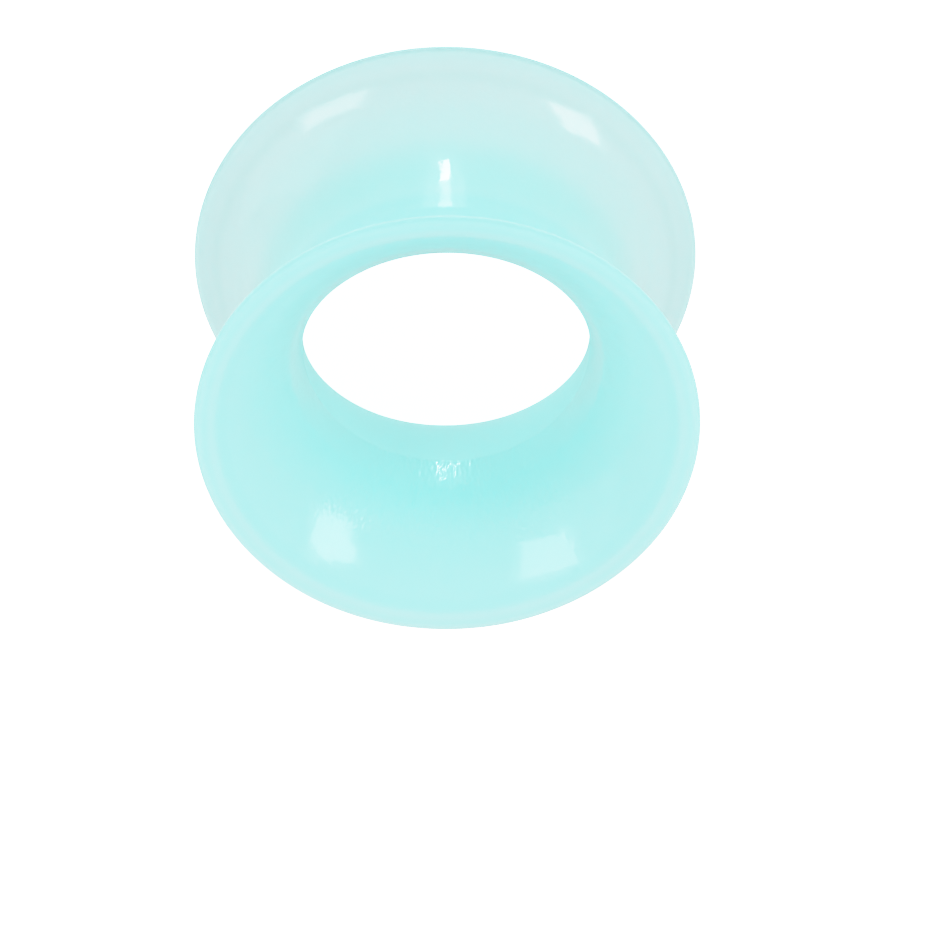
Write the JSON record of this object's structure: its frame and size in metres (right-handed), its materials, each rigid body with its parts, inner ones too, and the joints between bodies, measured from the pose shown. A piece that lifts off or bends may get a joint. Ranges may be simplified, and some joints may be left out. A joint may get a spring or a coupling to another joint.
{
  "type": "ear tunnel",
  "caption": "Double-flared ear tunnel of soft translucent silicone: a hollow waist that runs out to a thin, rounded flare at each end.",
  "frame": {"origin": "middle of the tunnel's axis, at the lowest point of the larger flare's lip, on which it stands", "axes": "+Z along the tunnel's axis, from the larger flare up to the smaller one; the form is round, so +X and +Y are any two square directions"},
  "size_m": [0.0168, 0.0168, 0.01],
  "materials": {
    "silicone": "satin"
  },
  "bodies": {
    "root": {"silicone_tunnel": "silicone"}
  },
  "joints": []
}
